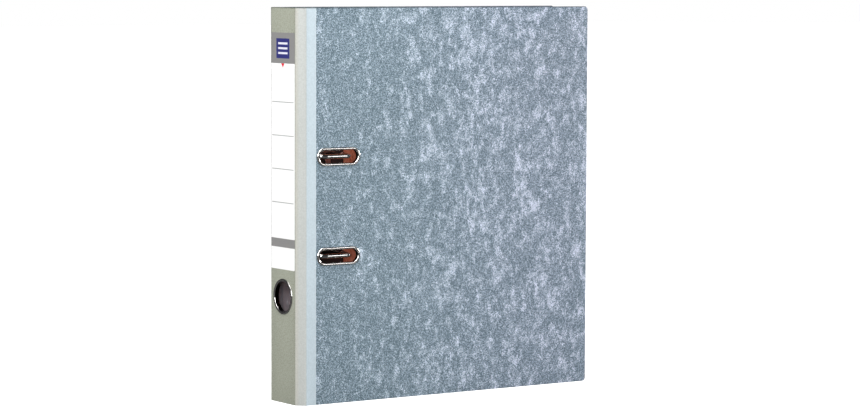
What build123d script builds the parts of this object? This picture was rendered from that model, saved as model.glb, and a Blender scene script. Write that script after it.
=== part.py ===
from build123d import *
import os

# A4 lever arch file, closed and standing on its bottom edge.
# X runs through the thickness, the front cover faces +X, the spine faces -Y, +Z is up.
# The origin is the middle of the footprint on the floor.

# ---- case -------------------------------------------------------------------
height = 318.0
depth = 285.0
thickness = 50.0
hinge_step = 6.5
board = 1.9
skin = 0.25
lining = 0.15
wall = board + skin + lining
board_trim = 1.3
skin_trim = 0.14
skin_margin = 0.3
lining_border = 4.0
free_corner = 3.0
lap_width = 9.2
rim_rise = 0.8
eyelet_rise = 1.1
eyelet_tail = 0.4

half = thickness / 2
spine_half = half - hinge_step
spine_y = -(depth + rim_rise) / 2 + rim_rise
crease_y = spine_y + hinge_step
free_y = spine_y + depth
mid_z = height / 2
skin_top = height - skin_margin
lining_top = height - lining_border

back_free = (-half, free_y)
back_crease = (-half, crease_y)
spine_back = (-spine_half, spine_y)
spine_front = (spine_half, spine_y)
front_crease = (half, crease_y)
front_free = (half, free_y)

# ---- label and finger ring ----------------------------------------------------
label_width = 36.2
label_low = 108.0
label_high = 298.0
label_thick = 0.1
label_corner = 1.0
ring_z = 86.0
ring_bore = 12.3
ring_barrel = 12.9
ring_flange = 14.5
ring_hole = 12.95
ring_tail = 1.2
ring_lip = 0.75
ring_mouth = 1.3
washer_thick = 0.6
washer_edge = 15.0
washer_round = 0.3

# ---- slots ----------------------------------------------------------------------
hole_pitch = 80.0
slot_y = spine_y + 36.8
slot_levels = (mid_z - hole_pitch / 2, mid_z + hole_pitch / 2)
slot_flange = (41.0, 15.0)
slot_inner = (36.4, 10.4)
slot_barrel = (37.8, 11.8)
slot_hole = (37.9, 11.9)
slot_round = 1.05

# ---- mechanism ------------------------------------------------------------------
inner_x = -half + wall
base_thick = 1.0
base_face = inner_x + base_thick
base_length = 178.0
base_near = spine_y + 13.0
base_far = spine_y + 71.0
base_corner = 6.0
window = (18.0, 5.0)
window_pitch = 136.0
wire = 2.0
arch_y = spine_y + 19.0
arch_x = -17.2
arch_top = half - skin - wire - 0.05
crank_y = arch_y + 8.0
crank_half = 9.0
post_y = spine_y + 50.5
post_radius = 2.5
post_shank = 2.0
post_foot = 3.6
post_foot_thick = 1.0
post_top = 10.0
post_edge = 0.5
arch_gap = 0.6
lug_thick = 1.5
lug_half = 4.0
arch_lugs = (mid_z - 32.0, mid_z + 32.0)
arch_fit = 0.06
rivet_lines = (spine_y + 20.0, spine_y + 64.0)
rivet_levels = (mid_z - 81.0, mid_z + 81.0)
rivet_shank = 2.0
rivet_head = 4.0
rivet_inner_head = 3.2
rivet_round = 0.5

lever_y = spine_y + 32.5
lever_half = 9.0
lever_sheet = 1.2
lever_pivot_x = -16.5
lever_pivot_z = mid_z - 27.0
lever_end_z = mid_z + 35.0
lever_top = -6.3
lever_skirt = -14.7
lever_eye = 4.2
lever_heel = 2.0
lever_round = 0.9
pin_radius = 2.0
pin_fit = 0.08
pin_head = 3.0
pin_head_thick = 0.9
pin_play = 0.3
lever_lug_gap = 0.5
lever_lug_half = 5.0
lever_lug_taper = 0.8
roller_radius = 3.0
roller_x = -11.9
roller_z = mid_z - 1.0
roller_half = 7.3
roller_pin_radius = 1.2
roller_pin_tail = 0.4
roller_fit = 0.07
roller_edge = 0.4
grip_half = 11.0
grip_length = 16.0
grip_overhang = 2.0
grip_thick = 2.2
grip_corner = 4.0
grip_round = 1.0

bar_low = -19.5
bar_thick = 1.2
bar_half_width = 6.5
bar_length = 110.0
bar_corner = 5.0
bar_slot = (44.0, 4.0)
bar_fit = 0.08
catch_thick = 0.8
catch_size = (11.0, 24.0)
catch_corner = 2.0
catch_rise = 8.0
catch_tab = (4.8, 9.0)


def slab(start, end, near, far, trim_start, trim_end, low, high):
    """Upright sheet along one stretch of the case, between two depths under its outer face."""
    along = (Vector(*end) - Vector(*start)).normalized()
    inward = Vector(-along.Y, along.X)
    first = Vector(*start) + along * trim_start
    last = Vector(*end) - along * trim_end
    corners = (
        first + inward * near,
        last + inward * near,
        last + inward * far,
        first + inward * far,
    )
    with BuildSketch(Plane.XY.offset(low)) as outline:
        with BuildLine():
            Polyline(*corners, close=True)
        make_face()
    extrude(outline.sketch, amount=high - low)


def round_free_corners(radius):
    """Rounds the two corners of a cover at its free edge."""
    at_edge = edges().filter_by(Axis.X).filter_by_position(Axis.Y, free_y - 5, free_y + 5)
    fillet(at_edge, radius)


def rivet_holes(from_x, to_x):
    """Cuts the four holes of the base rivets."""
    for line in rivet_lines:
        for level in rivet_levels:
            pin_along_x(rivet_shank, line, level, from_x, to_x, Mode.SUBTRACT)


def post(level):
    """A fixed post with a riveted shank, a foot and an open top edge for the arch."""
    foot_face = base_face + post_foot_thick
    pin_along_x(post_shank, post_y, level, inner_x, base_face)
    pin_along_x(post_foot, post_y, level, base_face, foot_face)
    pin_along_x(post_radius, post_y, level, foot_face, post_top)
    chamfer(edges().filter_by(GeomType.CIRCLE).group_by(Axis.X)[-1], post_edge)


def slot_cut(size, from_x, to_x, mode):
    """Cuts or adds the two oblong holes through the front cover."""
    with BuildSketch(Plane.YZ.offset(from_x)) as outline:
        with Locations(*[(slot_y, level) for level in slot_levels]):
            SlotOverall(size[0], size[1])
    extrude(outline.sketch, amount=to_x - from_x, mode=mode)


def round_cut(radius, z, near, far, mode):
    """A round bar or hole along Y in the middle of the spine."""
    with BuildSketch(Plane.XZ.offset(-near)) as outline:
        with Locations((0, z)):
            Circle(radius)
    extrude(outline.sketch, amount=near - far, mode=mode)


def pin_along_x(radius, y, z, from_x, to_x, mode=Mode.ADD):
    """A round pin or hole through the thickness of the file."""
    with BuildSketch(Plane.YZ.offset(from_x)) as outline:
        with Locations((y, z)):
            Circle(radius)
    extrude(outline.sketch, amount=to_x - from_x, mode=mode)


def pin_along_y(radius, x, z, from_y, to_y, mode=Mode.ADD):
    """A round pin or hole along the depth of the file."""
    with BuildSketch(Plane.XZ.offset(-from_y)) as outline:
        with Locations((x, z)):
            Circle(radius)
    extrude(outline.sketch, amount=from_y - to_y, mode=mode)


# ---- back cover -------------------------------------------------------------------
with BuildPart() as back_board:
    slab(back_free, back_crease, skin, skin + board, 0, board_trim, 0, height)
    round_free_corners(free_corner)
    rivet_holes(-half, inner_x)
back_board.part.label = "back_board"

with BuildPart() as back_cover_paper:
    slab(back_free, back_crease, 0, skin, 0, lap_width, skin_margin, skin_top)
    round_free_corners(free_corner)
    rivet_holes(-half, inner_x)
back_cover_paper.part.label = "back_cover_paper"

with BuildPart() as back_cover_lap:
    along_start = (-half, crease_y + lap_width)
    slab(along_start, back_crease, 0, skin, 0, skin_trim, skin_margin, skin_top)
back_cover_lap.part.label = "back_cover_lap"

with BuildPart() as back_lining:
    slab(back_free, back_crease, skin + board, wall, lining_border, board_trim, lining_border, lining_top)
    rivet_holes(-half, inner_x)
back_lining.part.label = "back_lining"

# ---- hinge strips and spine -------------------------------------------------------
with BuildPart() as rear_hinge_board:
    slab(back_crease, spine_back, skin, skin + board, board_trim, board_trim, 0, height)
rear_hinge_board.part.label = "rear_hinge_board"

with BuildPart() as rear_hinge_cloth:
    slab(back_crease, spine_back, 0, skin, skin_trim, skin_trim, skin_margin, skin_top)
rear_hinge_cloth.part.label = "rear_hinge_cloth"

with BuildPart() as rear_hinge_lining:
    slab(back_crease, spine_back, skin + board, wall, board_trim, board_trim, lining_border, lining_top)
rear_hinge_lining.part.label = "rear_hinge_lining"

with BuildPart() as spine_board:
    slab(spine_back, spine_front, skin, skin + board, board_trim, board_trim, 0, height)
    round_cut(ring_hole, ring_z, spine_y, spine_y + wall, Mode.SUBTRACT)
spine_board.part.label = "spine_board"

with BuildPart() as spine_cloth:
    slab(spine_back, spine_front, 0, skin, skin_trim, skin_trim, skin_margin, skin_top)
    round_cut(ring_hole, ring_z, spine_y, spine_y + wall, Mode.SUBTRACT)
spine_cloth.part.label = "spine_cloth"

with BuildPart() as spine_lining:
    slab(spine_back, spine_front, skin + board, wall, board_trim, board_trim, lining_border, lining_top)
    round_cut(ring_hole, ring_z, spine_y, spine_y + wall, Mode.SUBTRACT)
spine_lining.part.label = "spine_lining"

with BuildPart() as spine_label:
    with BuildSketch(Plane.XZ.offset(-spine_y)):
        with Locations((0, (label_low + label_high) / 2)):
            RectangleRounded(label_width, label_high - label_low, label_corner)
    extrude(amount=label_thick)
spine_label.part.label = "spine_label"

ring_tail_y = spine_y + wall + ring_tail
with BuildPart() as finger_ring:
    round_cut(ring_flange, ring_z, spine_y - rim_rise, spine_y, Mode.ADD)
    round_cut(ring_barrel, ring_z, spine_y, ring_tail_y, Mode.ADD)
    round_cut(ring_bore, ring_z, spine_y - rim_rise, ring_tail_y, Mode.SUBTRACT)
    # a round lip outside and a wide funnel into the bore
    fillet(edges().filter_by(GeomType.CIRCLE).group_by(Axis.Y)[0].sort_by(SortBy.LENGTH)[-1], ring_lip)
    fillet(edges().filter_by(GeomType.CIRCLE).group_by(Axis.Y)[0].sort_by(SortBy.LENGTH)[0], ring_mouth)
finger_ring.part.label = "finger_ring"

washer_face = spine_y + wall + washer_thick
with BuildPart() as finger_ring_washer:
    round_cut(washer_edge, ring_z, spine_y + wall, washer_face, Mode.ADD)
    round_cut(ring_hole, ring_z, spine_y + wall, washer_face, Mode.SUBTRACT)
    fillet(edges().filter_by(GeomType.CIRCLE).group_by(Axis.Y)[-1].sort_by(SortBy.LENGTH)[-1], washer_round)
finger_ring_washer.part.label = "finger_ring_washer"

with BuildPart() as front_hinge_board:
    slab(spine_front, front_crease, skin, skin + board, board_trim, board_trim, 0, height)
front_hinge_board.part.label = "front_hinge_board"

with BuildPart() as front_hinge_cloth:
    slab(spine_front, front_crease, 0, skin, skin_trim, skin_trim, skin_margin, skin_top)
front_hinge_cloth.part.label = "front_hinge_cloth"

with BuildPart() as front_hinge_lining:
    slab(spine_front, front_crease, skin + board, wall, board_trim, board_trim, lining_border, lining_top)
front_hinge_lining.part.label = "front_hinge_lining"

# ---- front cover --------------------------------------------------------------------
with BuildPart() as front_board:
    slab(front_crease, front_free, skin, skin + board, board_trim, 0, 0, height)
    round_free_corners(free_corner)
    slot_cut(slot_hole, half - wall, half, Mode.SUBTRACT)
front_board.part.label = "front_board"

with BuildPart() as front_cover_paper:
    slab(front_crease, front_free, 0, skin, lap_width, 0, skin_margin, skin_top)
    round_free_corners(free_corner)
    slot_cut(slot_hole, half - wall, half, Mode.SUBTRACT)
front_cover_paper.part.label = "front_cover_paper"

with BuildPart() as front_cover_lap:
    along_end = (half, crease_y + lap_width)
    slab(front_crease, along_end, 0, skin, skin_trim, 0, skin_margin, skin_top)
front_cover_lap.part.label = "front_cover_lap"

with BuildPart() as front_lining:
    slab(front_crease, front_free, skin + board, wall, board_trim, lining_border, lining_border, lining_top)
    slot_cut(slot_hole, half - wall, half, Mode.SUBTRACT)
front_lining.part.label = "front_lining"

eyelet_end = half - wall - eyelet_tail
with BuildPart() as slot_eyelets:
    slot_cut(slot_flange, half, half + eyelet_rise, Mode.ADD)
    slot_cut(slot_barrel, eyelet_end, half, Mode.ADD)
    slot_cut(slot_inner, eyelet_end, half + eyelet_rise, Mode.SUBTRACT)
    # the rim is rolled to a half round
    fillet(faces().filter_by(Axis.X).group_by(Axis.X)[-1].edges(), slot_round)
slot_eyelets.part.label = "slot_eyelets"

with BuildPart() as eyelet_washers:
    slot_cut(slot_flange, eyelet_end, half - wall, Mode.ADD)
    slot_cut(slot_hole, eyelet_end, half - wall, Mode.SUBTRACT)
eyelet_washers.part.label = "eyelet_washers"

# ---- mechanism on the back cover ----------------------------------------------------
lever_near = lever_y - lever_half
lever_far = lever_y + lever_half
lug_inner = lever_half - lever_sheet - lever_lug_gap

with BuildPart() as base_plate:
    with BuildSketch(Plane.YZ.offset(inner_x)):
        with Locations(((base_near + base_far) / 2, mid_z)):
            RectangleRounded(base_far - base_near, base_length, base_corner)
            with GridLocations(0, window_pitch, 1, 2):
                SlotOverall(window[0], window[1], mode=Mode.SUBTRACT)
    extrude(amount=base_thick)
    # bearing lugs of the arch shaft
    for level in arch_lugs:
        with BuildSketch(Plane.XY.offset(level - lug_thick / 2)):
            with BuildLine():
                Polyline(
                    (inner_x, arch_y - lug_half),
                    (arch_x, arch_y - lug_half),
                    (arch_x, arch_y + lug_half),
                    (inner_x, arch_y + lug_half),
                    close=True,
                )
            make_face()
            with Locations((arch_x, arch_y)):
                Circle(lug_half)
        extrude(amount=lug_thick)
        with BuildSketch(Plane.XY.offset(level - lug_thick / 2)):
            with Locations((arch_x, arch_y)):
                Circle(wire + arch_fit)
        extrude(amount=lug_thick, mode=Mode.SUBTRACT)
    # bearing lugs of the lever
    for side in (-1, 1):
        outer_y = lever_y + side * lug_inner
        with BuildSketch(Plane.XZ.offset(-outer_y)):
            with BuildLine():
                Polyline(
                    (inner_x, lever_pivot_z - lever_lug_half),
                    (lever_pivot_x, lever_pivot_z - lever_lug_half + lever_lug_taper),
                    (lever_pivot_x, lever_pivot_z + lever_lug_half - lever_lug_taper),
                    (inner_x, lever_pivot_z + lever_lug_half),
                    close=True,
                )
            make_face()
            with Locations((lever_pivot_x, lever_pivot_z)):
                Circle(lever_eye)
                Circle(pin_radius, mode=Mode.SUBTRACT)
        extrude(amount=side * lever_sheet)
    rivet_holes(inner_x, base_face)
    for level in slot_levels:
        pin_along_x(post_shank, post_y, level, inner_x, base_face, Mode.SUBTRACT)
base_plate.part.label = "base_plate"

with BuildPart() as base_rivets:
    for line in rivet_lines:
        for level in rivet_levels:
            pin_along_x(rivet_head, line, level, -half - eyelet_rise, -half)
            pin_along_x(rivet_shank, line, level, -half, base_face)
            pin_along_x(rivet_inner_head, line, level, base_face, base_face + rim_rise)
    fillet(edges().filter_by(GeomType.CIRCLE).group_by(Axis.X)[0], rivet_round)
    fillet(edges().filter_by(GeomType.CIRCLE).group_by(Axis.X)[-1], rivet_round)
base_rivets.part.label = "base_rivets"

with BuildPart() as post_lower:
    post(slot_levels[0])
post_lower.part.label = "post_lower"

with BuildPart() as post_upper:
    post(slot_levels[1])
post_upper.part.label = "post_upper"

# one bent wire makes both arches, the shaft that they turn on and the crank under the lever
tip_x = post_top + arch_gap
arch_points = (
    (tip_x, post_y, slot_levels[0]),
    (arch_top, post_y, slot_levels[0]),
    (arch_top, arch_y, slot_levels[0]),
    (arch_x, arch_y, slot_levels[0]),
    (arch_x, arch_y, mid_z - crank_half),
    (arch_x, crank_y, mid_z - crank_half),
    (arch_x, crank_y, mid_z + crank_half),
    (arch_x, arch_y, mid_z + crank_half),
    (arch_x, arch_y, slot_levels[1]),
    (arch_top, arch_y, slot_levels[1]),
    (arch_top, post_y, slot_levels[1]),
    (tip_x, post_y, slot_levels[1]),
)
arch_bends = (5.0, 8.0, 4.5, 3.5, 3.5, 3.5, 3.5, 4.5, 8.0, 5.0)
with BuildPart() as arch:
    with BuildLine() as arch_path:
        FilletPolyline(*arch_points, radius=arch_bends)
    with BuildSketch(Plane(origin=arch_points[0], z_dir=(1, 0, 0))):
        Circle(wire)
    sweep(path=arch_path.wires()[0])
    chamfer(edges().filter_by(GeomType.CIRCLE).filter_by_position(Axis.X, tip_x - 0.1, tip_x + 0.1), 0.4)
arch.part.label = "arch"

with BuildPart() as lever:
    # two side walls with an eye at the pivot
    for side in (-1, 1):
        outer_y = lever_y + side * lever_half
        with BuildSketch(Plane.XZ.offset(-outer_y)):
            with BuildLine():
                Polyline(
                    (lever_pivot_x + lever_eye - 1.0, lever_pivot_z - lever_eye + 1.0),
                    (lever_top, lever_pivot_z + lever_heel),
                    (lever_top, lever_end_z),
                    (lever_top - 3.0, lever_end_z),
                    (lever_skirt, lever_end_z - 14.0),
                    (lever_skirt, lever_pivot_z + 12.0),
                    (lever_pivot_x - lever_eye + 0.6, lever_pivot_z + lever_heel),
                    close=True,
                )
            make_face()
            with Locations((lever_pivot_x, lever_pivot_z)):
                Circle(lever_eye)
            with Locations((lever_pivot_x, lever_pivot_z)):
                Circle(pin_radius + pin_fit, mode=Mode.SUBTRACT)
            with Locations((roller_x, roller_z)):
                Circle(roller_pin_radius, mode=Mode.SUBTRACT)
        extrude(amount=side * lever_sheet)
    # the web that joins them
    with BuildSketch(Plane.YZ.offset(lever_top - lever_sheet)):
        with BuildLine():
            Polyline(
                (lever_near, lever_pivot_z + lever_heel),
                (lever_far, lever_pivot_z + lever_heel),
                (lever_far, lever_end_z),
                (lever_near, lever_end_z),
                close=True,
            )
        make_face()
    extrude(amount=lever_sheet)
    fillet(edges().filter_by(Axis.Z).group_by(Axis.X)[-1], lever_round)
lever.part.label = "lever"

with BuildPart() as lever_grip:
    with BuildSketch(Plane.YZ.offset(lever_top)):
        with Locations((lever_y, lever_end_z - grip_length / 2 + grip_overhang)):
            RectangleRounded(2 * grip_half, grip_length, grip_corner)
    extrude(amount=grip_thick)
    fillet(edges().group_by(Axis.X)[-1], grip_round)
lever_grip.part.label = "lever_grip"

with BuildPart() as lever_pin:
    pin_along_y(pin_radius, lever_pivot_x, lever_pivot_z, lever_near - pin_play, lever_far + pin_play)
    for side in (-1, 1):
        head_y = lever_y + side * (lever_half + pin_play)
        pin_along_y(pin_head, lever_pivot_x, lever_pivot_z, head_y, head_y + side * pin_head_thick)
lever_pin.part.label = "lever_pin"

with BuildPart() as lever_roller:
    pin_along_y(roller_radius, roller_x, roller_z, lever_y - roller_half, lever_y + roller_half)
    chamfer(edges().filter_by(GeomType.CIRCLE), roller_edge)
    hole = roller_pin_radius + roller_fit
    pin_along_y(hole, roller_x, roller_z, lever_y - roller_half, lever_y + roller_half, Mode.SUBTRACT)
lever_roller.part.label = "lever_roller"

with BuildPart() as roller_pin:
    pin_low, pin_high = lever_near - roller_pin_tail, lever_far + roller_pin_tail
    pin_along_y(roller_pin_radius, roller_x, roller_z, pin_low, pin_high)
roller_pin.part.label = "roller_pin"

with BuildPart() as compressor_bar:
    with BuildSketch(Plane.YZ.offset(bar_low)):
        with Locations((post_y, mid_z)):
            RectangleRounded(2 * bar_half_width, bar_length, bar_corner)
        with Locations(*[(post_y, level) for level in slot_levels]):
            Circle(post_radius + bar_fit, mode=Mode.SUBTRACT)
        with Locations((post_y, mid_z)):
            SlotOverall(bar_slot[0], bar_slot[1], rotation=90, mode=Mode.SUBTRACT)
    extrude(amount=bar_thick)
compressor_bar.part.label = "compressor_bar"

bar_face = bar_low + bar_thick
with BuildPart() as compressor_catch:
    with BuildSketch(Plane.YZ.offset(bar_face)):
        with Locations((post_y, slot_levels[1])):
            RectangleRounded(catch_size[0], catch_size[1], catch_corner)
            Circle(post_radius + bar_fit, mode=Mode.SUBTRACT)
    extrude(amount=catch_thick)
    with BuildSketch(Plane.XY.offset(slot_levels[1] + catch_rise)):
        with Locations((bar_face + catch_tab[0] / 2, post_y)):
            Rectangle(catch_tab[0], catch_tab[1])
    extrude(amount=catch_thick)
compressor_catch.part.label = "compressor_catch"

# ---- export ---------------------------------------------------------------------------
os.makedirs("parts", exist_ok=True)
all_parts = (
    back_board, back_cover_paper, back_cover_lap, back_lining,
    rear_hinge_board, rear_hinge_cloth, rear_hinge_lining,
    spine_board, spine_cloth, spine_lining, spine_label, finger_ring, finger_ring_washer,
    front_hinge_board, front_hinge_cloth, front_hinge_lining,
    front_board, front_cover_paper, front_cover_lap, front_lining, slot_eyelets, eyelet_washers,
    base_plate, base_rivets, post_lower, post_upper, arch,
    lever, lever_grip, lever_pin, lever_roller, roller_pin, compressor_bar, compressor_catch,
)
for piece in all_parts:
    export_step(piece.part, "parts/" + piece.part.label + ".step")
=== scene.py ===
from math import cos, pi, radians, sin, tan

import bmesh
import bpy
from mathutils import Matrix, Vector
from mathutils.geometry import tessellate_polygon


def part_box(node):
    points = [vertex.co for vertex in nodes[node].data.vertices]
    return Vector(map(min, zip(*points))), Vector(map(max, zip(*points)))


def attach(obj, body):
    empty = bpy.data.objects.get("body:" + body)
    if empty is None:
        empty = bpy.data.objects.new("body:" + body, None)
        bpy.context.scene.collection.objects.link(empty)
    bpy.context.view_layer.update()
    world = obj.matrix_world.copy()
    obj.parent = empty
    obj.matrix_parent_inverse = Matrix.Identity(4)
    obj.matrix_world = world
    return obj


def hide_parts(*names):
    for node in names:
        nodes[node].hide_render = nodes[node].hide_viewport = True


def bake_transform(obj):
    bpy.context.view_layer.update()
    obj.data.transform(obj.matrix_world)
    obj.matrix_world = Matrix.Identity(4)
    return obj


MM = 0.001

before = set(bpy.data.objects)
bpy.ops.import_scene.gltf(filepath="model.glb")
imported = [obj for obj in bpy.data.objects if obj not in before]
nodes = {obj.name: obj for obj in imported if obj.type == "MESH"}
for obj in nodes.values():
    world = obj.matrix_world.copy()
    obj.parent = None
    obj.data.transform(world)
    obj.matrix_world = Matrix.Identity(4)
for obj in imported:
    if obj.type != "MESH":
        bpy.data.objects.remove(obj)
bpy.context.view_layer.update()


# ---- camera -------------------------------------------------------------------------
AZIMUTH = radians(56.10)
PITCH = radians(4.47)
ROLL = radians(0.2)
EYE = Vector((2.0682, -1.3898, 0.3489))
FOCAL_SHARE = 3.508
SENSOR = 36.0


def make_camera():
    """The camera stands off the front cover's side of the spine, at the height of the top edge."""
    data = bpy.data.cameras.new("camera")
    data.sensor_width = SENSOR
    data.lens = SENSOR * FOCAL_SHARE
    data.clip_end = 20.0
    camera = bpy.data.objects.new("camera", data)
    camera.location = EYE
    turn = Matrix.Rotation(AZIMUTH, 3, "Z") @ Matrix.Rotation(pi / 2 - PITCH, 3, "X")
    camera.rotation_euler = (turn @ Matrix.Rotation(ROLL, 3, "Z")).to_euler()
    bpy.context.collection.objects.link(camera)
    bpy.context.scene.camera = camera


make_camera()

# ---- places taken from the frame ------------------------------------------------------
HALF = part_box("front_cover_paper")[1][0]
SPINE_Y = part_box("spine_cloth")[0][1]
CREASE_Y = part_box("front_cover_lap")[0][1] - 0.14 * MM
FREE_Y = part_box("front_board")[1][1]
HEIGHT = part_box("front_board")[1][2]
LAP_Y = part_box("front_cover_paper")[0][1]
STEP = CREASE_Y - SPINE_Y
SPINE_HALF = HALF - STEP
SKIN = 0.25 * MM
BOARD = 1.9 * MM
LINING = 0.15 * MM
WALL = SKIN + BOARD + LINING
BORDER = 4.0 * MM

BACK_FREE = (-HALF, FREE_Y)
BACK_CREASE = (-HALF, CREASE_Y)
SPINE_BACK = (-SPINE_HALF, SPINE_Y)
SPINE_FRONT = (SPINE_HALF, SPINE_Y)
FRONT_CREASE = (HALF, CREASE_Y)
FRONT_FREE = (HALF, FREE_Y)

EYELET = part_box("slot_eyelets")
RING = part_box("finger_ring")
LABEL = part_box("spine_label")
SLOT_INNER = (36.4 * MM, 10.4 * MM)
RING_INNER = 12.3 * MM

# painted shade: how much darker the papers are where they turn over the top edge
TOP_EDGE_SHADE_TINT = (0.36, 0.37, 0.37)


# ---- node graph helper ------------------------------------------------------------------
class Graph:
    """A material's node tree, built one node at a time."""

    def __init__(self, name):
        self.material = bpy.data.materials.new(name)
        self.material.use_nodes = True
        self.tree = self.material.node_tree
        self.tree.nodes.clear()
        self.output = self.tree.nodes.new("ShaderNodeOutputMaterial")
        self.shader = self.tree.nodes.new("ShaderNodeBsdfPrincipled")
        self.tree.links.new(self.shader.outputs[0], self.output.inputs["Surface"])
        self.place = self.add("ShaderNodeTexCoord").outputs["Object"]

    def add(self, kind, **settings):
        node = self.tree.nodes.new(kind)
        for key, value in settings.items():
            setattr(node, key, value)
        return node

    def feed(self, node, socket, value):
        target = node.inputs[socket]
        if isinstance(value, bpy.types.NodeSocket):
            self.tree.links.new(value, target)
        else:
            target.default_value = value

    def math(self, operation, first, second=0.0, third=None):
        node = self.add("ShaderNodeMath", operation=operation)
        self.feed(node, 0, first)
        self.feed(node, 1, second)
        if third is not None:
            self.feed(node, 2, third)
        return node.outputs[0]

    def scaled(self, vector, factors):
        node = self.add("ShaderNodeVectorMath", operation="MULTIPLY")
        self.feed(node, 0, vector)
        self.feed(node, 1, factors)
        return node.outputs[0]

    def noise(self, scale, detail=3.0, roughness=0.55, distortion=0.0, vector=None):
        node = self.add("ShaderNodeTexNoise")
        self.feed(node, "Vector", vector or self.place)
        self.feed(node, "Scale", scale)
        self.feed(node, "Detail", detail)
        self.feed(node, "Roughness", roughness)
        self.feed(node, "Distortion", distortion)
        return node.outputs[0]

    def smooth(self, value, low, high, to_low=0.0, to_high=1.0):
        node = self.add("ShaderNodeMapRange", interpolation_type="SMOOTHSTEP")
        self.feed(node, "Value", value)
        self.feed(node, "From Min", low)
        self.feed(node, "From Max", high)
        self.feed(node, "To Min", to_low)
        self.feed(node, "To Max", to_high)
        return node.outputs[0]

    def ramp(self, value, stops):
        node = self.add("ShaderNodeValToRGB")
        elements = node.color_ramp.elements
        while len(elements) < len(stops):
            elements.new(0.5)
        for element, (position, colour) in zip(elements, stops):
            element.position = position
            element.color = (*colour, 1.0)
        self.feed(node, 0, value)
        return node.outputs[0]

    def mix(self, factor, first, second, blend="MIX"):
        node = self.add("ShaderNodeMix", data_type="RGBA", blend_type=blend)
        self.feed(node, 0, factor)
        self.feed(node, 6, first if isinstance(first, bpy.types.NodeSocket) else (*first, 1.0))
        self.feed(node, 7, second if isinstance(second, bpy.types.NodeSocket) else (*second, 1.0))
        return node.outputs[2]

    def axis(self, name):
        node = self.add("ShaderNodeSeparateXYZ")
        self.feed(node, 0, self.place)
        return node.outputs[name]

    def bump(self, height, distance, strength=1.0, normal=None):
        node = self.add("ShaderNodeBump")
        self.feed(node, "Height", height)
        self.feed(node, "Distance", distance)
        self.feed(node, "Strength", strength)
        if normal is not None:
            self.feed(node, "Normal", normal)
        return node.outputs[0]

    def top_edge_shade(self, colour):
        """Paints shade on a paper where it is drawn over the top edge, a dark line along the fold."""
        edge = self.smooth(self.axis("Z"), HEIGHT - 0.75 * MM, HEIGHT - 0.25 * MM)
        return self.mix(edge, colour, self.mix(1.0, colour, TOP_EDGE_SHADE_TINT, "MULTIPLY"))

    def set(self, **values):
        for key, value in values.items():
            self.feed(self.shader, key.replace("_", " "), value)


def linear(red, green, blue):
    """A colour given as 0 to 255 screen values, as linear light."""
    def one(v):
        v = v / 255
        return v / 12.92 if v <= 0.04045 else ((v + 0.055) / 1.055) ** 2.4
    return (one(red), one(green), one(blue))


# ---- materials -------------------------------------------------------------------------
def marbled_paper():
    """Printed cloudy paper: fuzzy pale patches drawn out upwards over a coarse blue-grey grain."""
    g = Graph("marbled_paper")
    tall = g.scaled(g.place, (1.0, 1.0, 0.62))
    broad = g.noise(45, 2.0, 0.5, 0.3, tall)
    cloud = g.noise(150, 4.0, 0.55, 0.4, tall)
    patch = g.noise(420, 2.0, 0.6, 0.4, g.scaled(g.place, (1.0, 1.0, 0.8)))
    grain = g.noise(1900, 0.0, 0.5)
    coarse = g.noise(900, 1.0, 0.6)
    y = g.axis("Y")
    fullness = g.math("MULTIPLY_ADD", broad, 0.40, -0.25)
    fullness = g.math("MULTIPLY_ADD", g.smooth(y, -0.14, 0.03), 0.11, fullness)
    mass = g.math("ADD", g.math("MULTIPLY_ADD", g.math("SUBTRACT", patch, 0.5), 0.45, cloud), fullness)
    clouds = g.smooth(mass, 0.45, 0.88)
    light = g.math("MULTIPLY_ADD", clouds, 0.62, 0.24)
    light = g.math("MULTIPLY_ADD", g.math("SUBTRACT", patch, 0.5), 0.16, light)
    light = g.math("MULTIPLY_ADD", g.math("SUBTRACT", coarse, 0.5), 0.4, light)
    strength = g.math("MULTIPLY_ADD", clouds, 1.0, 2.0)
    light = g.math("MULTIPLY_ADD", g.math("SUBTRACT", grain, 0.5), strength, light)
    colour = g.ramp(light, (
        (0.0, linear(78, 96, 106)),
        (0.3, linear(114, 133, 143)),
        (0.55, linear(143, 161, 174)),
        (1.0, linear(205, 216, 230)),
    ))
    violet = g.smooth(y, -0.09, 0.12)
    colour = g.mix(violet, colour, g.mix(1.0, colour, linear(255, 248, 253), "MULTIPLY"))
    g.set(Base_Color=g.top_edge_shade(colour), Specular_IOR_Level=0.35)
    g.set(Roughness=g.math("MULTIPLY_ADD", grain, 0.16, 0.42))
    g.set(Normal=g.bump(g.math("MULTIPLY_ADD", grain, 0.6, patch), 0.00006, 0.5))
    return g.material


def plain_paper(name, colour, deep, grain_scale, contrast, edges=()):
    """Printed paper with a fine grain; each of the edges is (axis, start, end, tint), a tinted border."""
    g = Graph(name)
    grain = g.noise(grain_scale, 2.0, 0.6)
    slow = g.noise(35, 3.0, 0.5)
    tone = g.math("MULTIPLY_ADD", g.math("SUBTRACT", grain, 0.5), contrast, 0.5)
    tone = g.math("MULTIPLY_ADD", g.math("SUBTRACT", slow, 0.5), 0.5, tone)
    paper = g.mix(tone, deep, colour)
    for axis, start, end, tint in edges:
        across = g.axis(axis[-1])
        across = g.math("MULTIPLY", across, -1.0) if axis[0] == "-" else g.math("ABSOLUTE", across)
        reach = g.smooth(across, start, end)
        paper = g.mix(reach, paper, g.mix(1.0, paper, tint, "MULTIPLY"))
    g.set(Base_Color=g.top_edge_shade(paper), Specular_IOR_Level=0.35)
    g.set(Roughness=g.math("MULTIPLY_ADD", grain, 0.15, 0.53))
    g.set(Normal=g.bump(grain, 0.00005, 0.4))
    return g.material


HINGE_DARK = linear(128, 123, 130)
HINGE_PALE = linear(162, 157, 164)
FRONT_GREY = 3.2 * MM
BACK_GREY = 30.0 * MM


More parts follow.
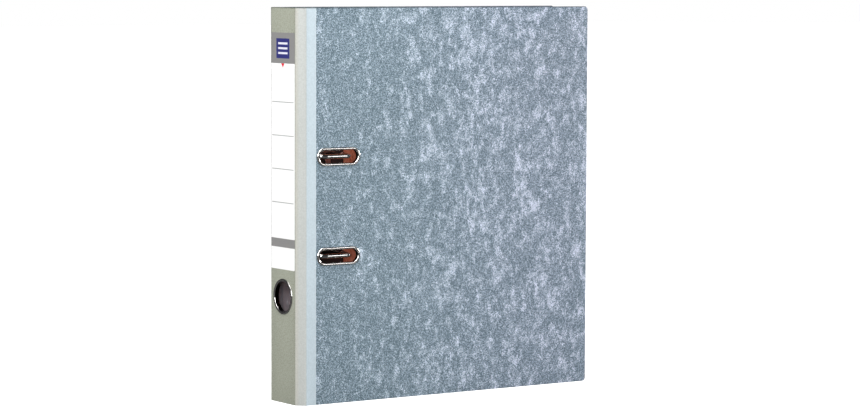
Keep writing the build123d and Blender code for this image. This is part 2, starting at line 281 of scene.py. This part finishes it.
def kraft_lining(name, grey_width):
    """Reddish brown flecked lining; the hinge's grey paper laps over it beside the crease."""
    g = Graph(name)
    slow = g.noise(60, 4.0, 0.6)
    fleck = g.noise(900, 2.0, 0.7, 0.6, g.scaled(g.place, (1.0, 1.0, 0.45)))
    tone = g.math("MULTIPLY_ADD", g.math("SUBTRACT", fleck, 0.5), 1.1, slow)
    kraft = g.ramp(tone, (
        (0.2, linear(176, 112, 88)),
        (0.5, linear(232, 160, 130)),
        (0.85, linear(246, 194, 166)),
    ))
    near_spine = g.smooth(g.axis("Y"), CREASE_Y + grey_width, CREASE_Y + grey_width + 0.2 * MM, 1.0, 0.0)
    grey = g.ramp(tone, ((0.25, HINGE_DARK), (0.75, HINGE_PALE)))
    g.set(Base_Color=g.mix(near_spine, kraft, grey))
    g.set(Roughness=g.math("MULTIPLY_ADD", fleck, 0.2, 0.6), Specular_IOR_Level=0.25)
    g.set(Normal=g.bump(fleck, 0.00008, 0.5))
    return g.material


def hinge_lining():
    """Dark grey reinforcing paper over the creases inside."""
    g = Graph("hinge_lining")
    weave = g.noise(1300, 2.0, 0.6)
    slow = g.noise(50, 3.0, 0.6)
    tone = g.math("MULTIPLY_ADD", g.math("SUBTRACT", weave, 0.5), 0.8, slow)
    g.set(Base_Color=g.ramp(tone, ((0.25, HINGE_DARK), (0.75, HINGE_PALE))), Specular_IOR_Level=0.25)
    g.set(Roughness=g.math("MULTIPLY_ADD", weave, 0.2, 0.6))
    g.set(Normal=g.bump(weave, 0.00008, 0.5))
    return g.material


def grey_board():
    """Cut edge of grey board: thin layers with loose fibres."""
    g = Graph("grey_board")
    fibre = g.noise(1500, 3.0, 0.7)
    layer = g.noise(2600, 1.0, 0.5, 0.0, g.scaled(g.place, (1.0, 1.0, 0.08)))
    tone = g.math("MULTIPLY_ADD", layer, 0.5, g.math("MULTIPLY", fibre, 0.5))
    g.set(Base_Color=g.ramp(tone, (
        (0.3, linear(118, 110, 98)),
        (0.6, linear(168, 160, 146)),
    )))
    g.set(Roughness=g.math("MULTIPLY_ADD", fibre, 0.2, 0.75))
    g.set(Normal=g.bump(tone, 0.0002, 0.6))
    return g.material


def metal(name, colour, rough, streak_axis=None, dark=0.75, bump=0.00002):
    """Plated metal with faint smears, fine scratches and a little dirt."""
    g = Graph(name)
    stretch = (1.0, 1.0, 1.0) if streak_axis is None else streak_axis
    smear = g.noise(140, 4.0, 0.6, 0.5)
    scratch = g.noise(1800, 2.0, 0.6, 0.0, g.scaled(g.place, stretch))
    tone = g.smooth(g.math("MULTIPLY_ADD", scratch, 0.35, smear), 0.35, 0.95)
    deep = tuple(c * dark for c in colour)
    g.set(Base_Color=g.mix(tone, deep, colour), Metallic=1.0)
    g.set(Roughness=g.math("MULTIPLY_ADD", g.math("ADD", smear, scratch), rough * 0.5, rough * 0.5))
    g.set(Normal=g.bump(scratch, bump, 0.3))
    return g.material


def rim_metal(name, axis, root, crest):
    """Bright plate on the crest of a pressed rim, with painted shade and painted dark reflection, near black,
    at its foot and down its barrel.
    """
    g = Graph(name)
    smear = g.noise(300, 4.0, 0.6, 0.5)
    scratch = g.noise(2400, 2.0, 0.6)
    shade_edge_wobble = g.math("SUBTRACT", smear, 0.5)
    unshaded = g.smooth(g.math("MULTIPLY_ADD", shade_edge_wobble, (crest - root) * 0.3, g.axis(axis)), root, crest)
    # painted shade and painted dark reflection: the rim's foot and its barrel are near black, the crest
    # bright plate
    g.set(Base_Color=g.mix(unshaded, (0.012, 0.011, 0.011), (0.9, 0.88, 0.85)), Metallic=1.0)
    g.set(Roughness=g.math("MULTIPLY_ADD", g.math("ADD", smear, scratch), 0.09, 0.06))
    g.set(Normal=g.bump(scratch, 0.00002, 0.3))
    return g.material


LIT_END_TOP = 97 * MM


def lacquer(name, colour, rough):
    """Dark lacquer on steel, mottled and rubbed in places, with painted light at the lower end: a light matte
    grey where light through the ring falls.
    """
    g = Graph(name)
    mottle = g.noise(240, 4.0, 0.6, 0.4)
    rub = g.smooth(g.noise(60, 5.0, 0.7, 0.8), 0.58, 0.75)
    tone = g.mix(mottle, tuple(c * 0.8 for c in colour), tuple(c * 1.2 for c in colour))
    tone = g.mix(g.math("MULTIPLY", rub, 0.3), tone, (0.16, 0.16, 0.165))
    # painted light: the lower end turns a light matte grey where light through the spine's ring falls on the
    # plate
    lit_end = g.smooth(g.axis("Z"), LIT_END_TOP, LIT_END_TOP + 4 * MM, 1.0, 0.0)
    g.set(Base_Color=g.mix(lit_end, tone, g.mix(mottle, linear(136, 131, 138), linear(158, 153, 160))))
    g.set(Metallic=g.math("MULTIPLY_ADD", lit_end, -0.35, 0.35))
    g.set(Roughness=g.math("MULTIPLY_ADD", mottle, 0.25, rough - 0.12))
    g.set(Normal=g.bump(mottle, 0.00004, 0.4))
    return g.material


def plastic(name, colour, rough):
    """Moulded plastic with a fine spark-eroded grain and greasy wear."""
    g = Graph(name)
    grain = g.noise(2200, 2.0, 0.6)
    wear = g.noise(120, 4.0, 0.6)
    g.set(Base_Color=g.mix(g.math("MULTIPLY", wear, 0.5), colour, tuple(c * 1.9 + 0.01 for c in colour)))
    g.set(Roughness=g.math("MULTIPLY_ADD", wear, 0.25, rough - 0.12))
    g.set(Normal=g.bump(grain, 0.00006, 0.6))
    return g.material


HEAD_BAND = 24.6 * MM
FOOT_BAND = (17.8 * MM, 24.9 * MM)
PANEL_HALF = 10.0 * MM
PANEL_RISE = 4.0 * MM
PANEL_HIGH = 16.0 * MM
BAR_HALF = 7.2 * MM
BAR_THICK = 1.6 * MM
FIRST_BAR = 3.4 * MM
BAR_STEP = 3.9 * MM
RULE_HALF = 16.6 * MM
RULE_THICK = 0.6 * MM
FIRST_RULE = 53.5 * MM
RULE_STEP = 26.9 * MM
POINTER_HALF = 2.5 * MM


def printed_label():
    """White label: a grey band with a plain panel on top, four rules, a grey band lower down."""
    g = Graph("printed_label")
    x = g.axis("X")
    z = g.axis("Z")
    low, high = LABEL[0][2], LABEL[1][2]

    def between(value, start, end, soft=0.00008):
        rise = g.smooth(value, start - soft, start + soft)
        fall = g.smooth(value, end - soft, end + soft, 1.0, 0.0)
        return g.math("MULTIPLY", rise, fall)

    white = linear(252, 252, 251)
    grey = linear(141, 140, 139)
    grain = g.noise(1500, 2.0, 0.6)
    slow = g.noise(40, 3.0, 0.5)
    paper = g.mix(g.math("MULTIPLY", slow, 0.05), white, linear(232, 232, 226))

    band_low = high - HEAD_BAND
    head = between(z, band_low, high + MM)
    foot = between(z, low + FOOT_BAND[0], low + FOOT_BAND[1])
    colour = g.mix(g.math("MAXIMUM", head, foot), paper, grey)

    panel_low = band_low + PANEL_RISE
    panel_x = between(x, -PANEL_HALF, PANEL_HALF)
    panel_z = between(z, panel_low, panel_low + PANEL_HIGH)
    colour = g.mix(g.math("MULTIPLY", panel_x, panel_z), colour, linear(52, 54, 122))
    for bar in range(3):
        bar_z = panel_low + FIRST_BAR + BAR_STEP * bar
        bar_mask = g.math("MULTIPLY", between(x, -BAR_HALF, BAR_HALF), between(z, bar_z, bar_z + BAR_THICK))
        colour = g.mix(bar_mask, colour, linear(226, 226, 238))

    for rule in range(4):
        rule_z = low + FIRST_RULE + RULE_STEP * rule
        across = between(x, -RULE_HALF, RULE_HALF)
        rule_mask = g.math("MULTIPLY", between(z, rule_z, rule_z + RULE_THICK), across)
        colour = g.mix(rule_mask, colour, linear(150, 149, 149))

    tip = g.math("SUBTRACT", band_low, z)
    half_width = g.math("MULTIPLY_ADD", tip, -0.72, POINTER_HALF)
    inside = g.math("LESS_THAN", g.math("ABSOLUTE", x), half_width)
    below = g.math("LESS_THAN", z, band_low)
    colour = g.mix(g.math("MULTIPLY", inside, below), colour, linear(226, 8, 44))

    # painted shade: a dark line down the label's rear edge, where the spine rounds into the rear crease
    rear_edge_shade = g.smooth(x, -17.7 * MM, -17.95 * MM)
    colour = g.mix(rear_edge_shade, colour, linear(96, 99, 94))
    g.set(Base_Color=colour, Specular_IOR_Level=0.4)
    g.set(Roughness=g.math("MULTIPLY_ADD", grain, 0.12, 0.38))
    g.set(Normal=g.bump(grain, 0.00003, 0.4))
    return g.material


MARBLE = marbled_paper()
# painted light and shade: spine, hinge strips and laps are one pale cloth, and each facet gets its own lit or
# shaded colour: dim sage on the spine, bright cream on the hinge strips, cool pale blue on the laps
SPINE_FACET_SHADE = plain_paper(
    "cloth_spine_facet_shaded", linear(168, 171, 156), linear(146, 149, 135), 900, 4.0,
    (
        ("X", 4 * MM, 18 * MM, linear(250, 250, 250)),
        # painted shade: dark lines down both edges of the spine where it rounds into the creases, darkest at
        # the rear edge
        ("X", 17.9 * MM, 18.5 * MM, (0.7, 0.71, 0.7)),
        ("-X", 17.7 * MM, 18.2 * MM, (0.3, 0.32, 0.3)),
    ),
)
HINGE_FACET_LIT = plain_paper(
    "cloth_hinge_facet_lit", linear(178, 181, 178), linear(168, 171, 168), 900, 3.4,
    # painted highlight: a warmer tint along the hinge strip next to the spine's crease
    (("X", 21.5 * MM, 19.0 * MM, linear(255, 250, 243)),),
)
LAP_FACET_LIT = plain_paper(
    "cloth_lap_facet_lit", linear(188, 201, 208), linear(176, 190, 197), 900, 3.0,
    # painted highlight: a brighter line along the lap's edge where it meets the marbled paper
    (("Y", 127.2 * MM, 126.4 * MM, (1.12, 1.08, 1.06)),),
)
KRAFT_FRONT = kraft_lining("front_kraft", FRONT_GREY)
KRAFT_BACK = kraft_lining("back_kraft", BACK_GREY)
HINGE_LINING = hinge_lining()
BOARD_EDGE = grey_board()
CHROME = metal("nickel_plate", (0.88, 0.87, 0.85), 0.12, dark=0.6)
EYELET_METAL = rim_metal("eyelet_plate", "X", HALF + 0.20 * MM, HALF + 0.62 * MM)
RING_METAL = rim_metal("ring_plate", "Y", SPINE_Y - 0.12 * MM, SPINE_Y - 0.42 * MM)
PLATE = lacquer("dark_lacquer", (0.045, 0.043, 0.048), 0.45)
ZINC = metal("zinc_plate", (0.62, 0.63, 0.66), 0.36, (1.0, 1.0, 0.05), 0.7, 0.00004)
BLACK = plastic("black_plastic", (0.018, 0.018, 0.02), 0.5)
LABEL_PRINT = printed_label()

LOOKS = {
    "cloth_spine_facet_shaded": (SPINE_FACET_SHADE, ("spine_cloth",)),
    "cloth_hinge_facet_lit": (HINGE_FACET_LIT, ("rear_hinge_cloth", "front_hinge_cloth")),
    "lap_facet_lit": (LAP_FACET_LIT, ("back_cover_lap", "front_cover_lap")),
    "marble": (MARBLE, ("back_cover_paper", "front_cover_paper")),
    "back_lining": (KRAFT_BACK, ("back_lining",)),
    "front_lining": (KRAFT_FRONT, ("front_lining",)),
    "hinge_lining": (HINGE_LINING, ("rear_hinge_lining", "spine_lining", "front_hinge_lining")),
    "board": (BOARD_EDGE, (
        "back_board", "rear_hinge_board", "spine_board", "front_hinge_board", "front_board",
    )),
    "chrome": (CHROME, ("finger_ring", "slot_eyelets", "arch", "post_lower", "post_upper")),
    "zinc": (ZINC, (
        "finger_ring_washer", "eyelet_washers", "lever", "lever_pin",
        "roller_pin", "lever_roller", "compressor_catch",
    )),
    "plate": (PLATE, ("base_plate", "base_rivets")),
    "black": (BLACK, ("lever_grip", "compressor_bar")),
    "label": (LABEL_PRINT, ("spine_label",)),
}


def dress_frame():
    """Gives every carried-over CAD node its material."""
    for material, names in LOOKS.values():
        for name in names:
            mesh = nodes[name].data
            mesh.materials.clear()
            mesh.materials.append(material)


dress_frame()


# ---- mesh helpers ------------------------------------------------------------------------
def make_object(name, vertices, faces, materials, face_materials=None, sharp=35.0):
    mesh = bpy.data.meshes.new(name)
    mesh.from_pydata([tuple(v) for v in vertices], [], faces)
    for material in materials:
        mesh.materials.append(material)
    if face_materials:
        for polygon, index in zip(mesh.polygons, face_materials):
            polygon.material_index = index
    tidy = bmesh.new()
    tidy.from_mesh(mesh)
    bmesh.ops.remove_doubles(tidy, verts=tidy.verts, dist=1e-6)
    bmesh.ops.recalc_face_normals(tidy, faces=tidy.faces)
    tidy.to_mesh(mesh)
    tidy.free()
    for polygon in mesh.polygons:
        polygon.use_smooth = True
    mesh.set_sharp_from_angle(angle=radians(sharp))
    piece = bpy.data.objects.new(name, mesh)
    bpy.context.collection.objects.link(piece)
    return piece


class Panel:
    """One flat stretch of the case: u runs from start to end, n goes inwards from the outer face."""

    def __init__(self, start, end):
        self.start = Vector((*start, 0.0))
        self.along = Vector((end[0] - start[0], end[1] - start[1], 0.0))
        self.length = self.along.length
        self.along.normalize()
        self.inward = Vector((-self.along.y, self.along.x, 0.0))

    def point(self, u, n, z):
        spot = self.start + self.along * u + self.inward * n
        return Vector((spot.x, spot.y, z))


# how far the wrapped paper stands in from the board's edge, and how deep it lies, from lining to face
WRAP = (
    (BORDER + 0.3 * MM, SKIN + BOARD + 0.02 * MM),
    (BORDER + 0.3 * MM, WALL - 0.03 * MM),
    (0.40 * MM, WALL - 0.02 * MM),
    (0.12 * MM, WALL - 0.07 * MM),
    (-0.04 * MM, WALL - 0.22 * MM),
    (-0.12 * MM, WALL - 0.5 * MM),
    (-0.12 * MM, 0.55 * MM),
    (-0.04 * MM, 0.24 * MM),
    (0.14 * MM, 0.07 * MM),
    (0.45 * MM, 0.0),
)


def cover_outline(length, first_u, inset, corner=3.0 * MM, steps=8):
    """The paper's edge round a cover: along the bottom, up the free edge and back along the top."""
    radius = max(corner - inset, 0.4 * MM)
    far = length - inset
    points = [(first_u, inset)]
    for k in range(steps + 1):
        a = -pi / 2 + pi / 2 * k / steps
        points.append((far - radius + radius * cos(a), inset + radius + radius * sin(a)))
    for k in range(steps + 1):
        a = pi / 2 * k / steps
        points.append((far - radius + radius * cos(a), HEIGHT - inset - radius + radius * sin(a)))
    points.append((first_u, HEIGHT - inset))
    return points


def slot_outline(centre_u, centre_z, size, steps=10):
    """An oblong hole with round ends."""
    straight = (size[0] - size[1]) / 2
    radius = size[1] / 2
    points = []
    for side in (1, -1):
        for k in range(steps + 1):
            a = -pi / 2 + pi * k / steps
            points.append((centre_u + side * (straight + radius * cos(a)), centre_z + side * radius * sin(a)))
    return points


def round_outline(centre_u, centre_z, radius, steps=48):
    return [
        (centre_u + radius * cos(2 * pi * k / steps), centre_z + radius * sin(2 * pi * k / steps))
        for k in range(steps)
    ]


def sheet_piece(name, panel, rings, holes, material, body, replaced):
    """Paper over one board: strips of rings that wrap its edges, and a flat face with its holes."""
    vertices, faces = [], []
    for ring_set in rings:
        base = len(vertices)
        count = len(ring_set[0][0])
        for outline, depth in ring_set:
            vertices.extend(panel.point(u, depth, z) for u, z in outline)
        for row in range(len(ring_set) - 1):
            for k in range(count - 1):
                a = base + row * count + k
                faces.append((a, a + 1, a + count + 1, a + count))
    face_outline = []
    for ring_set in rings:
        face_outline.extend(ring_set[-1][0])
    loops = [face_outline] + holes
    flat = [Vector((u, z, 0.0)) for loop in loops for u, z in loop]
    base = len(vertices)
    vertices.extend(panel.point(v.x, 0.0, v.y) for v in flat)
    for triangle in tessellate_polygon([[Vector((u, z, 0.0)) for u, z in loop] for loop in loops]):
        faces.append(tuple(base + k for k in triangle))
    piece = make_object(name, vertices, faces, [material])
    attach(piece, body)
    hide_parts(*replaced)
    return piece


def cover_paper(name, panel, first_u, holes, body, replaced):
    """Marbled paper round the three free edges of a cover."""
    rings = [[(cover_outline(panel.length, first_u, inset), depth) for inset, depth in WRAP]]
    return sheet_piece(name, panel, rings, holes, MARBLE, body, [replaced])


def strip_paper(name, panel, from_u, to_u, holes, material, body, replaced):
    """Paper over a strip of the case, turned in at the top and the bottom."""
    bottom = [([(from_u, inset), (to_u, inset)], depth) for inset, depth in WRAP]
    top = [([(to_u, HEIGHT - inset), (from_u, HEIGHT - inset)], depth) for inset, depth in WRAP]
    return sheet_piece(name, panel, [bottom, top], holes, material, body, [replaced])


back_panel = Panel(BACK_FREE, BACK_CREASE)
rear_strip = Panel(BACK_CREASE, SPINE_BACK)
spine_panel = Panel(SPINE_BACK, SPINE_FRONT)
front_strip = Panel(SPINE_FRONT, FRONT_CREASE)
front_panel = Panel(FRONT_CREASE, FRONT_FREE)


class Mirrored:
    """The back cover seen from its crease, so that both covers share one outline."""

    def __init__(self, panel):
        self.panel = panel
        self.length = panel.length

    def point(self, u, n, z):
        return self.panel.point(self.panel.length - u, n, z)


def rim_piece(name, panel, outlines, depth, rise, flange, wall, material, body, replaced):
    """Pressed eyelets: a rounded rim on the face, a barrel through the board and a rolled inner edge."""
    profile = [(wall, depth - 0.3 * MM), (wall * 0.6, depth), (wall * 0.2, depth), (0.0, depth - 0.3 * MM)]
    for k in range(13):
        a = pi * k / 12
        profile.append((flange / 2 - flange / 2 * cos(a), -rise * sin(a)))
    profile.append((flange - 0.15 * MM, 0.05 * MM))
    profile.append((wall, 0.05 * MM))
    vertices, faces = [], []
    for outline in outlines:
        base = len(vertices)
        loops = [(outline(2 * offset), n) for offset, n in profile]
        count = len(loops[0][0])
        for loop, n in loops:
            vertices.extend(panel.point(u, n, z) for u, z in loop)
        for row in range(len(loops)):
            low = base + row * count
            high = base + (row + 1) % len(loops) * count
            for k in range(count):
                nxt = (k + 1) % count
                faces.append((low + k, low + nxt, high + nxt, high + k))
    piece = make_object(name, vertices, faces, [material], sharp=50.0)
    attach(piece, body)
    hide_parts(replaced)


LAP = LAP_Y - CREASE_Y
slot_u = (EYELET[0][1] + EYELET[1][1]) / 2 - CREASE_Y
SLOT_HALF_PITCH = 40.0 * MM
SLOT_HOLE = (38.4 * MM, 12.4 * MM)
RING_HOLE = 13.2 * MM
slot_heights = [HEIGHT / 2 + side * SLOT_HALF_PITCH for side in (-1, 1)]
slot_holes = [slot_outline(slot_u, height, SLOT_HOLE) for height in slot_heights]
ring_z = (RING[0][2] + RING[1][2]) / 2
ring_hole = [round_outline(spine_panel.length / 2, ring_z, RING_HOLE)]
SKIN_TRIM = 0.14 * MM

cover_paper("front_cover_wrap", front_panel, LAP, slot_holes, "front_cover", "front_cover_paper")
cover_paper("back_cover_wrap", Mirrored(back_panel), LAP, [], "back_cover", "back_cover_paper")
strip_paper(
    "front_lap_wrap", front_panel, SKIN_TRIM, LAP, [], LAP_FACET_LIT,
    "front_cover", "front_cover_lap",
)
strip_paper(
    "back_lap_wrap", Mirrored(back_panel), SKIN_TRIM, LAP, [], LAP_FACET_LIT,
    "back_cover", "back_cover_lap",
)
strip_paper(
    "front_hinge_wrap", front_strip, SKIN_TRIM, front_strip.length - SKIN_TRIM, [], HINGE_FACET_LIT,
    "front_hinge_strip", "front_hinge_cloth",
)
strip_paper(
    "rear_hinge_wrap", rear_strip, SKIN_TRIM, rear_strip.length - SKIN_TRIM, [], HINGE_FACET_LIT,
    "rear_hinge_strip", "rear_hinge_cloth",
)
strip_paper(
    "spine_wrap", spine_panel, SKIN_TRIM, spine_panel.length - SKIN_TRIM, ring_hole, SPINE_FACET_SHADE,
    "spine", "spine_cloth",
)


def slot_rim(centre_z):
    return lambda grow: slot_outline(slot_u, centre_z, (SLOT_INNER[0] + grow, SLOT_INNER[1] + grow), 20)


rim_piece(
    "front_eyelets", front_panel, [slot_rim(height) for height in slot_heights],
    HALF - EYELET[0][0], EYELET[1][0] - HALF, (EYELET[1][1] - EYELET[0][1] - SLOT_INNER[0]) / 2, 0.7 * MM,
    EYELET_METAL, "front_cover", "slot_eyelets",
)
rim_piece(
    "spine_ring", spine_panel,
    [lambda grow: round_outline(spine_panel.length / 2, ring_z, RING_INNER + grow / 2, 72)],
    RING[1][1] - SPINE_Y, SPINE_Y - RING[0][1], (RING[1][0] - RING[0][0]) / 2 - RING_INNER, 0.6 * MM,
    RING_METAL, "spine", "finger_ring",
)


# ---- creases ------------------------------------------------------------------------------
def crease(name, before, after, looks, reach, depth, thick):
    """A narrow strip that carries the covering or the lining across one crease, bent at the crease's fixed
    angle.
    """
    inner = depth > MM
    facing = -1 if inner else 1
    bend = radians(45.0)
    apex = depth * tan(bend / 2)
    corner = 0.5 * MM
    outer, under = [], []
    for panel, side in ((before, -1), (after, 1)):
        edge = panel.length if side < 0 else 0.0
        spots = (reach, reach * 0.6, apex + corner) if side < 0 else (apex + corner, reach * 0.6, reach)
        for spot in spots:
            u = edge - spot if side < 0 else edge + spot
            fade = 0.0 if spot == reach else 1.0
            spot_on_panel = panel.point(u, depth, 0.0)
            outer.append(spot_on_panel - panel.inward * (0.03 * MM * fade) * facing)
            under.append(spot_on_panel + panel.inward * thick * facing)
    loop = outer + under[::-1]
    count = len(loop)
    split = len(outer) // 2
    low, high = (0.1 * MM, HEIGHT - 0.1 * MM) if not inner else (BORDER, HEIGHT - BORDER)
    vertices = [Vector((p.x, p.y, z)) for z in (low, high) for p in loop]
    faces, face_looks = [], []
    for k in range(count):
        after_k = (k + 1) % count
        faces.append((k, after_k, count + after_k, count + k))
        on_first = k < split or k >= count - split
        face_looks.append(0 if on_first else 1)
    half = len(outer)
    for offset in (0, count):
        for k in range(half - 1):
            faces.append((offset + k, offset + k + 1, offset + count - 2 - k, offset + count - 1 - k))
            face_looks.append(0 if k < split else 1)
    piece = make_object(name, vertices, faces, looks, face_looks, 60.0)
    grip = 0.9 * MM if not inner else apex + 0.3 * MM
    start = before.point(before.length - grip, depth, HEIGHT / 2)
    end = after.point(grip, depth, HEIGHT / 2)
    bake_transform(piece)
    return piece


CREASES = (
    ("rear_cover", back_panel, rear_strip, ("back_cover", "rear_hinge_strip"), (LAP_FACET_LIT, HINGE_FACET_LIT)),
    ("rear_spine", rear_strip, spine_panel, ("rear_hinge_strip", "spine"), (HINGE_FACET_LIT, SPINE_FACET_SHADE)),
    ("front_spine", spine_panel, front_strip, ("spine", "front_hinge_strip"), (SPINE_FACET_SHADE, HINGE_FACET_LIT)),
    ("front_cover", front_strip, front_panel, ("front_hinge_strip", "front_cover"), (HINGE_FACET_LIT, LAP_FACET_LIT)),
)
OUTER_REACH = 1.6 * MM
OUTER_THICK = 0.2 * MM
INNER_REACH = 3.2 * MM
INNER_THICK = 0.1 * MM
LINING_LOOKS = (HINGE_LINING, HINGE_LINING)
for place, before, after, bodies, looks in CREASES:
    crease(
        place + "_crease", before, after, looks,
        OUTER_REACH, 0.0, OUTER_THICK,
    )
    crease(
        place + "_lining_crease", before, after, LINING_LOOKS,
        INNER_REACH, WALL, INNER_THICK,
    )


# ---- stage -------------------------------------------------------------------------------
def stage_floor():
    """A pale floor just under the paper's turned edge: white to the eye, dimmer to the file and its metal."""
    g = Graph("pale_floor")
    fleck = g.noise(60, 2.0, 0.5)
    pale = g.mix(g.math("MULTIPLY", fleck, 0.02), (0.9, 0.9, 0.9), (0.87, 0.87, 0.87))
    path = g.add("ShaderNodeLightPath")
    dim = g.mix(path.outputs["Is Glossy Ray"], (0.5, 0.5, 0.5), (0.06, 0.06, 0.06))
    g.set(Base_Color=g.mix(path.outputs["Is Camera Ray"], dim, pale))
    g.set(Emission_Color=(1.0, 1.0, 1.0, 1.0))
    g.set(Emission_Strength=g.math("MULTIPLY", path.outputs["Is Camera Ray"], 0.5))
    g.set(Roughness=0.9, Specular_IOR_Level=0.0)
    reach = 14.0
    level = -0.15 * MM
    corners = [(-reach, -reach, level), (reach, -reach, level), (reach, reach, level), (-reach, reach, level)]
    floor = make_object("floor", corners, [(0, 1, 2, 3)], [g.material])


def area_light(name, azimuth, elevation, distance, size, energy):
    """A soft box on a circle round the file; azimuth 0 stands before the spine, 90 before the front cover."""
    centre = Vector((0.0, 0.0, 0.16))
    a, e = radians(azimuth), radians(elevation)
    back = Vector((sin(a) * cos(e), -cos(a) * cos(e), sin(e)))
    data = bpy.data.lights.new(name, "AREA")
    data.shape = "RECTANGLE"
    data.size, data.size_y = size
    data.energy = energy
    lamp = bpy.data.objects.new(name, data)
    lamp.location = centre + back * distance
    lamp.rotation_euler = (-back).to_track_quat("-Z", "Y").to_euler()
    bpy.context.collection.objects.link(lamp)


def backdrop(tree, colour, strength):
    node = tree.nodes.new("ShaderNodeBackground")
    node.inputs["Color"].default_value = colour
    node.inputs["Strength"].default_value = strength
    return node


def studio():
    """White surroundings for the eye, dim ones for the rest, four soft boxes and light from overhead."""
    world = bpy.data.worlds.new("studio")
    bpy.context.scene.world = world
    world.use_nodes = True
    tree = world.node_tree
    tree.nodes.clear()
    output = tree.nodes.new("ShaderNodeOutputWorld")
    seen = backdrop(tree, (1.0, 1.0, 1.0, 1.0), 1.0)
    felt = backdrop(tree, (0.97, 0.98, 1.0, 1.0), 0.30)
    mirrored = backdrop(tree, (0.9, 0.92, 1.0, 1.0), 0.05)
    path = tree.nodes.new("ShaderNodeLightPath")
    choose = tree.nodes.new("ShaderNodeMixShader")
    gloss = tree.nodes.new("ShaderNodeMixShader")
    tree.links.new(path.outputs["Is Glossy Ray"], gloss.inputs[0])
    tree.links.new(felt.outputs[0], gloss.inputs[1])
    tree.links.new(mirrored.outputs[0], gloss.inputs[2])
    tree.links.new(path.outputs["Is Camera Ray"], choose.inputs[0])
    tree.links.new(gloss.outputs[0], choose.inputs[1])
    tree.links.new(seen.outputs[0], choose.inputs[2])
    tree.links.new(choose.outputs[0], output.inputs["Surface"])

    area_light("key", 44, 19, 2.6, (1.3, 1.3), 41.5)
    area_light("top", 40, 56, 1.2, (0.7, 0.7), 8.6)
    area_light("side", 118, 8, 1.0, (0.22, 0.22), 0.75)
    area_light("rear", 170, 10, 1.3, (0.35, 0.35), 8.0)
    overhead = bpy.data.lights.new("overhead", "SUN")
    overhead.energy = 1.6
    overhead.angle = radians(30.0)
    lamp = bpy.data.objects.new("overhead", overhead)
    bpy.context.collection.objects.link(lamp)
    bpy.context.scene.view_settings.view_transform = "Standard"


stage_floor()
studio()
